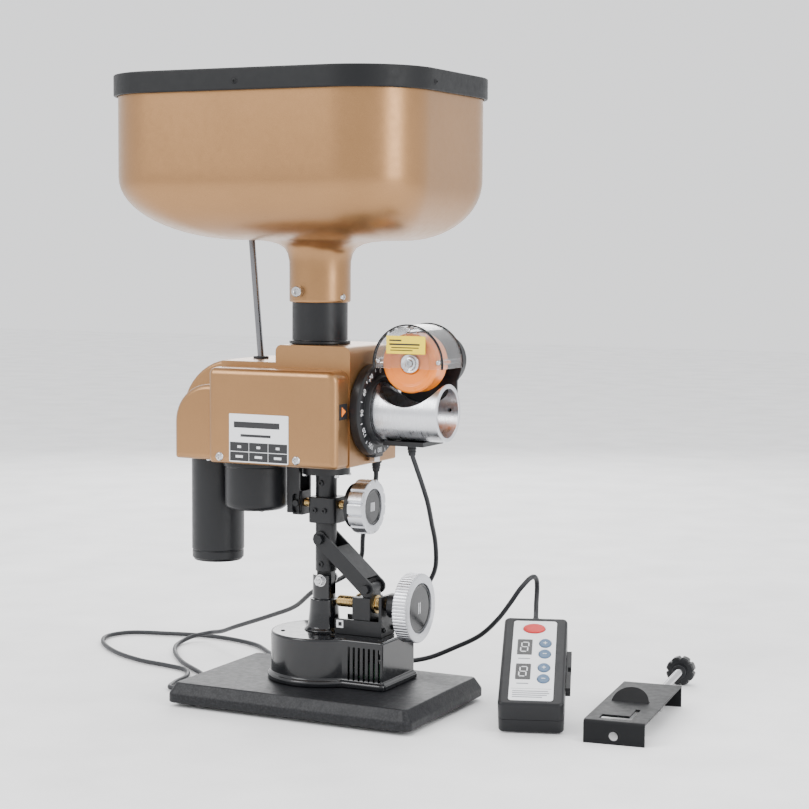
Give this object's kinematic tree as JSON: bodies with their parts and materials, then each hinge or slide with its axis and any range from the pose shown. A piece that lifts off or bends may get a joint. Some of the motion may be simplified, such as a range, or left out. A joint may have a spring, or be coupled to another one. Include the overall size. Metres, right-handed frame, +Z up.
{
  "type": "table-tennis ball machine",
  "caption": "Tabletop ball-throwing machine: hopper, feed case, throw wheel and tube on a tilting, swinging stand, with a wired controller and a table clamp bracket.",
  "frame": {"origin": "middle of the footprint of the machine, its controller and its bracket together, on the surface they stand on; the leads are not counted", "axes": "+X the way the balls leave the tube, +Y towards the machine's rear side, +Z up"},
  "size_m": [0.6609, 0.338, 0.571],
  "materials": {
    "gold_paint": "moulded shell sprayed satin champagne gold with fine metallic flake",
    "rim_black": "black moulded plastic with a fine grain",
    "black_base": "heavy plate with a black leather-grain powder coat",
    "black_gloss": "glossy black moulded plastic",
    "black_plastic": "satin black moulded plastic",
    "black_metal": "black painted steel",
    "black_metal_dial": "satin black ring with pale printed marks",
    "satin_aluminium": "satin turned aluminium",
    "steel": "polished steel",
    "brass": "plain machined brass",
    "orange_urethane": "orange cast urethane",
    "clear_plastic": "clear moulded polycarbonate",
    "rubber": "black rubber",
    "lead_jacket": "black flexible lead jacket",
    "white_plastic": "white printed front sheet and white moulded plastic",
    "blue_grey_plastic": "blue-grey rubbery push buttons",
    "red_plastic": "red moulded key",
    "board_green": "green lacquered circuit board"
  },
  "bodies": {
    "root": {"base_plate": "black_base", "foot_1": "rubber", "foot_2": "rubber", "foot_3": "rubber", "foot_4": "rubber", "drum_housing": "black_gloss", "swing_motor": "steel", "turret_bearing": "brass", "control_board": "board_green", "power_inlet": "black_plastic", "controller_base": "black_plastic", "controller_top": "black_plastic", "controller_panel": "white_plastic", "controller_stand": "black_metal", "controller_clip": "black_metal", "controller_gland": "rubber", "table_bracket": "black_metal", "lead_throw_motor": "lead_jacket", "lead_feed_motor": "lead_jacket", "lead_controller": "lead_jacket"},
    "turret": {"turret_post": "black_gloss", "column_hinge_bolt": "steel", "screw_trough": "black_metal"},
    "column": {"column": "black_metal", "tilt_collar": "black_metal"},
    "lift_link": {"lift_link": "black_metal"},
    "height_nut": {"height_nut": "black_metal"},
    "height_screw": {"height_screw": "brass", "height_knob": "satin_aluminium"},
    "head": {"case_body": "gold_paint", "front_cover": "gold_paint", "gear_cover": "gold_paint", "case_flange": "black_metal", "head_hinge_pin": "steel", "tilt_lug": "black_metal", "neck_tube": "black_plastic", "feed_motor": "black_plastic", "feed_gearbox": "black_plastic"},
    "tilt_screw": {"tilt_screw": "brass", "tilt_knob": "satin_aluminium"},
    "tilt_nut": {"tilt_nut": "black_metal"},
    "ball_pusher": {"ball_pusher": "white_plastic"},
    "stir_rod": {"stir_rod": "steel"},
    "hopper": {"hopper_tub": "gold_paint", "hopper_rim": "rim_black", "neck_screw": "steel"},
    "throwing_head": {"dial_ring": "black_metal_dial", "discharge_tube": "satin_aluminium", "motor_bracket": "black_metal", "throw_motor": "black_plastic", "wheel_cover": "clear_plastic"},
    "throw_wheel": {"throw_wheel": "orange_urethane"},
    "button_1": {"button_1": "blue_grey_plastic"},
    "button_2": {"button_2": "blue_grey_plastic"},
    "button_3": {"button_3": "blue_grey_plastic"},
    "button_4": {"button_4": "blue_grey_plastic"},
    "power_key": {"power_key": "red_plastic"},
    "clamp_pad": {"clamp_pad": "steel"},
    "clamp_screw": {"clamp_screw": "steel", "clamp_knob": "rim_black"}
  },
  "joints": [
    {"name": "turret_turn", "type": "hinge", "parent": "root", "child": "turret", "pos_m": [-0.071, -0.051, 0.08], "axis": [0, 0, 1], "range_deg": [-20, 20], "deforming": ["lead_throw_motor", "lead_feed_motor"]},
    {"name": "column_tilt", "type": "hinge", "parent": "turret", "child": "column", "pos_m": [-0.069, -0.051, 0.113], "axis": [0, 1, 0], "range_deg": [-12, 12]},
    {"name": "lift_link_swing", "type": "hinge", "parent": "column", "child": "lift_link", "pos_m": [-0.069, -0.051, 0.1515], "axis": [0, 1, 0], "range_deg": [-12.5, 12.5]},
    {"name": "height_nut_slide", "type": "slide", "parent": "turret", "child": "height_nut", "axis": [1, 0, 0], "range_m": [-0.0082, 0.0082]},
    {"name": "height_knob_turn", "type": "hinge", "parent": "turret", "child": "height_screw", "pos_m": [0.014, -0.051, 0.094], "axis": [1, 0, 0], "range_deg": [-975, 975]},
    {"name": "head_tilt", "type": "hinge", "parent": "column", "child": "head", "pos_m": [-0.069, -0.051, 0.234], "axis": [0, 1, 0], "range_deg": [-8, 8]},
    {"name": "tilt_nut_slide", "type": "slide", "parent": "column", "child": "tilt_nut", "axis": [1, 0, 0], "range_m": [-0.0075, 0.0075]},
    {"name": "tilt_knob_turn", "type": "hinge", "parent": "column", "child": "tilt_screw", "pos_m": [-0.035, -0.051, 0.183], "axis": [1, 0, 0], "range_deg": [-870, 870]},
    {"name": "ball_pusher_stroke", "type": "slide", "parent": "head", "child": "ball_pusher", "axis": [1, 0, 0], "range_m": [0, 0.04]},
    {"name": "stir_rod_stroke", "type": "slide", "parent": "head", "child": "stir_rod", "axis": [-0.0884, 0, 0.9961], "range_m": [-0.01, 0.014]},
    {"name": "hopper_lift", "type": "slide", "parent": "head", "child": "hopper", "axis": [0, 0, 1], "range_m": [0, 0.04]},
    {"name": "spin_ring_turn", "type": "hinge", "parent": "head", "child": "throwing_head", "pos_m": [-0.021, -0.051, 0.2715], "axis": [1, 0, 0], "range_deg": [-90, 90]},
    {"name": "throw_wheel_spin", "type": "hinge", "parent": "throwing_head", "child": "throw_wheel", "pos_m": [0.021, -0.051, 0.3155], "axis": [0, 1, 0], "continuous": true},
    {"name": "button_1_press", "type": "slide", "parent": "root", "child": "button_1", "axis": [-0.1553, 0.4266, -0.891], "range_m": [0, 0.001], "stiffness_N_per_m": 600, "springref_m": -0.001},
    {"name": "button_2_press", "type": "slide", "parent": "root", "child": "button_2", "axis": [-0.1553, 0.4266, -0.891], "range_m": [0, 0.001], "stiffness_N_per_m": 600, "springref_m": -0.001},
    {"name": "button_3_press", "type": "slide", "parent": "root", "child": "button_3", "axis": [-0.1553, 0.4266, -0.891], "range_m": [0, 0.001], "stiffness_N_per_m": 600, "springref_m": -0.001},
    {"name": "button_4_press", "type": "slide", "parent": "root", "child": "button_4", "axis": [-0.1553, 0.4266, -0.891], "range_m": [0, 0.001], "stiffness_N_per_m": 600, "springref_m": -0.001},
    {"name": "power_key_press", "type": "slide", "parent": "root", "child": "power_key", "axis": [-0.1553, 0.4266, -0.891], "range_m": [0, 0.0012], "stiffness_N_per_m": 600, "springref_m": -0.001},
    {"name": "clamp_pad_slide", "type": "slide", "parent": "root", "child": "clamp_pad", "axis": [-0.1184, 0.993, 0], "range_m": [-0.07, 0.03]},
    {"name": "clamp_screw_turn", "type": "hinge", "parent": "clamp_pad", "child": "clamp_screw", "pos_m": [0.2155, 0.06603, 0.0138], "axis": [-0.1184, 0.993, 0], "range_deg": [-5500, 12700]}
  ],
  "couplings": [
    {"joint": "lift_link_swing", "follows": "column_tilt", "ratio": -1},
    {"joint": "height_nut_slide", "follows": "column_tilt", "m_per_rad": 0.0385},
    {"joint": "height_knob_turn", "follows": "column_tilt", "ratio": -80.634},
    {"joint": "tilt_nut_slide", "follows": "head_tilt", "m_per_rad": -0.051},
    {"joint": "tilt_knob_turn", "follows": "head_tilt", "ratio": 106.81},
    {"joint": "clamp_screw_turn", "follows": "clamp_pad_slide", "rad_per_m": -3141.6}
  ]
}
